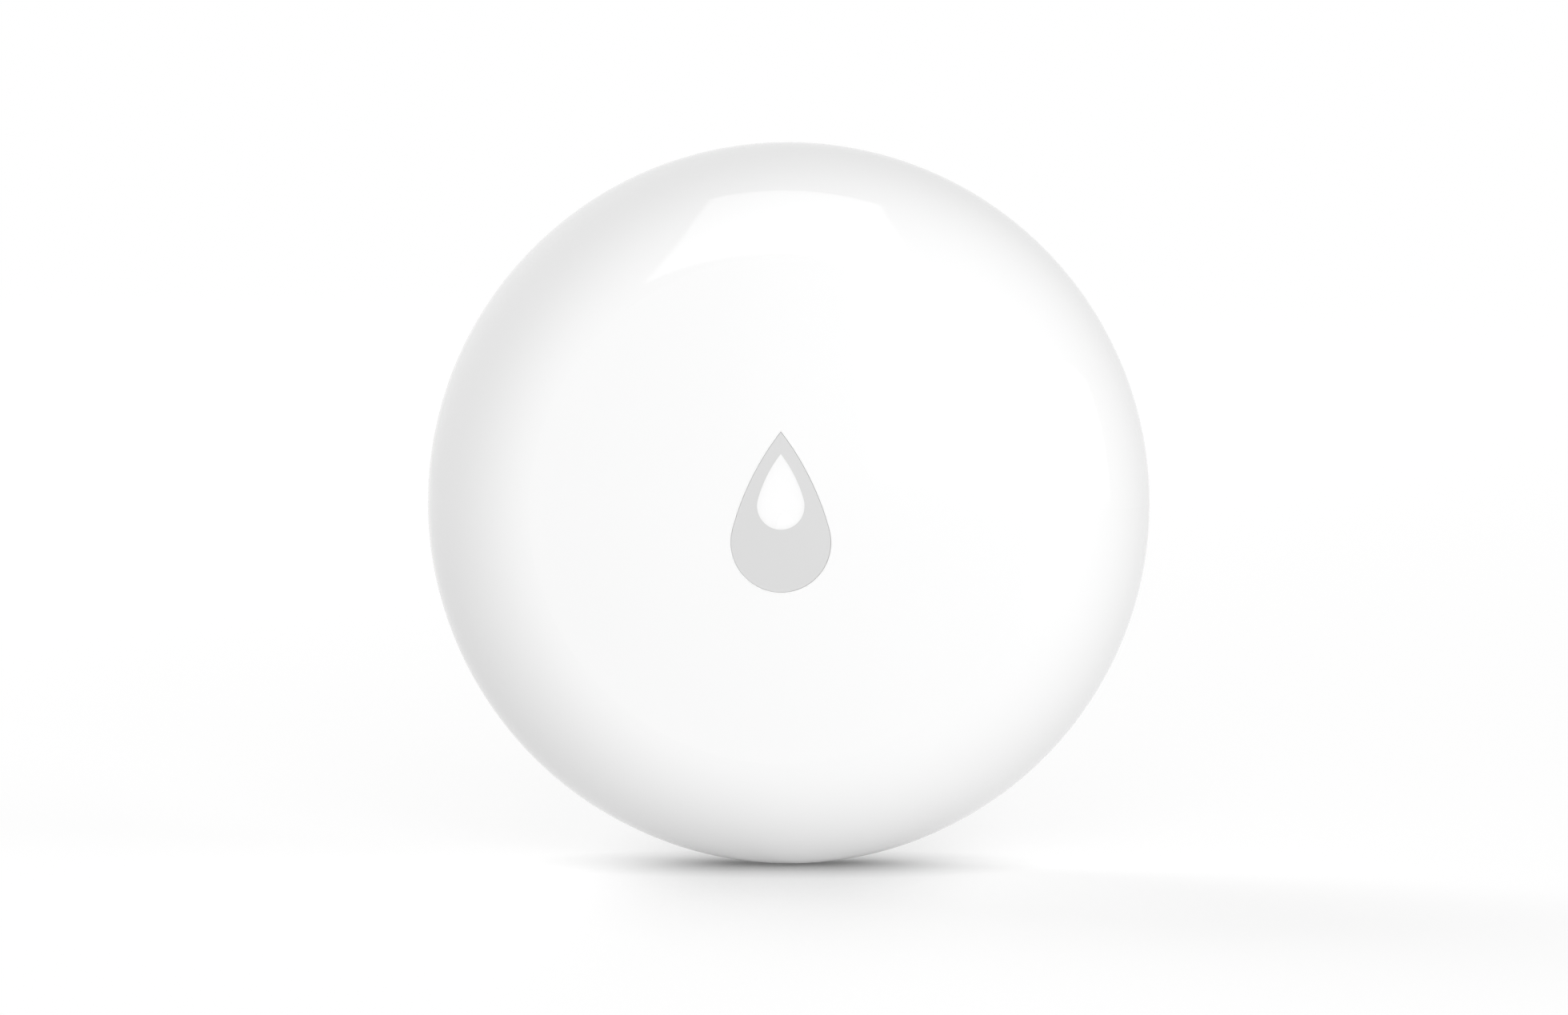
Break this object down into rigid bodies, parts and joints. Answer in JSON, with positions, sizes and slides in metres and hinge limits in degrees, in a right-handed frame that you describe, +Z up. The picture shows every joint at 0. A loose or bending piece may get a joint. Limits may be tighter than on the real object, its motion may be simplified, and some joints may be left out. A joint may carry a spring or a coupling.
{
  "type": "water leak sensor",
  "caption": "Round pebble-shaped floor sensor with a domed face, a water drop key, a coin-slot battery cover and metal floor probes.",
  "frame": {"origin": "lowest point of the round rim, midway through the thickness", "axes": "+Z up through the drop's tip, -Y out of the domed face, +Y out of the floor side"},
  "size_m": [0.05, 0.0164, 0.05],
  "materials": {
    "white_gloss": "high gloss moulded white",
    "white_satin": "fine satin moulded white",
    "key_grey": "smooth light grey",
    "key_white": "smooth translucent white",
    "silicone_grey": "soft grey silicone",
    "silicone_black": "soft black silicone",
    "frame_black": "black nylon",
    "board_green": "solder mask",
    "screw_steel": "nickel plated steel",
    "probe_steel": "polished stainless steel",
    "insert_brass": "turned brass",
    "contact_gold": "gold plated spring metal",
    "contact_nickel": "nickel plated spring metal",
    "cell_steel": "stainless steel can",
    "can_tin": "tinned sheet",
    "chip_black": "moulded epoxy",
    "switch_black": "moulded nylon",
    "plunger_white": "moulded white",
    "led_clear": "clear epoxy",
    "crystal_metal": "nickel can",
    "antenna_white": "glazed chip",
    "capacitor_tan": "fired ceramic"
  },
  "bodies": {
    "case": {"top_shell": "white_gloss", "bottom_shell": "white_satin", "shell_gasket": "silicone_grey", "button_seal": "silicone_grey", "button_frame": "frame_black", "circuit_board": "board_green", "board_screws": "screw_steel", "switch_body": "switch_black", "status_led": "led_clear", "radio_chip": "chip_black", "shield_can": "can_tin", "crystal": "crystal_metal", "chip_antenna": "antenna_white", "sensing_chip": "chip_black", "capacitors": "capacitor_tan", "coin_cell": "cell_steel", "negative_contact": "contact_nickel", "positive_contacts": "contact_nickel", "probe_screws": "probe_steel", "probe_seals": "silicone_black", "probe_inserts": "insert_brass", "probe_springs": "contact_gold", "floor_feet": "silicone_grey"},
    "key": {"drop_button": "key_grey", "drop_centre": "key_white"},
    "plunger": {"switch_plunger": "plunger_white"},
    "cover_ring": {"cover_o_ring": "silicone_black"},
    "cover": {"battery_cover": "white_satin"}
  },
  "joints": [
    {"name": "key_press", "type": "slide", "parent": "case", "child": "key", "axis": [0, 1, 0], "range_m": [0, 0.0003], "stiffness_N_per_m": 4000, "springref_m": -0.0001},
    {"name": "plunger_press", "type": "slide", "parent": "case", "child": "plunger", "axis": [0, 1, 0], "range_m": [0, 0.0003]},
    {"name": "cover_rise", "type": "slide", "parent": "case", "child": "cover_ring", "axis": [0, 1, 0], "range_m": [0, 0.000834]},
    {"name": "cover_turn", "type": "hinge", "parent": "cover_ring", "child": "cover", "pos_m": [0, 0.00825, 0.025], "axis": [0, 1, 0], "range_deg": [0, 60]}
  ],
  "couplings": [
    {"joint": "plunger_press", "follows": "key_press", "ratio": 1},
    {"joint": "cover_rise", "follows": "cover_turn", "m_per_rad": 0.00079577}
  ]
}
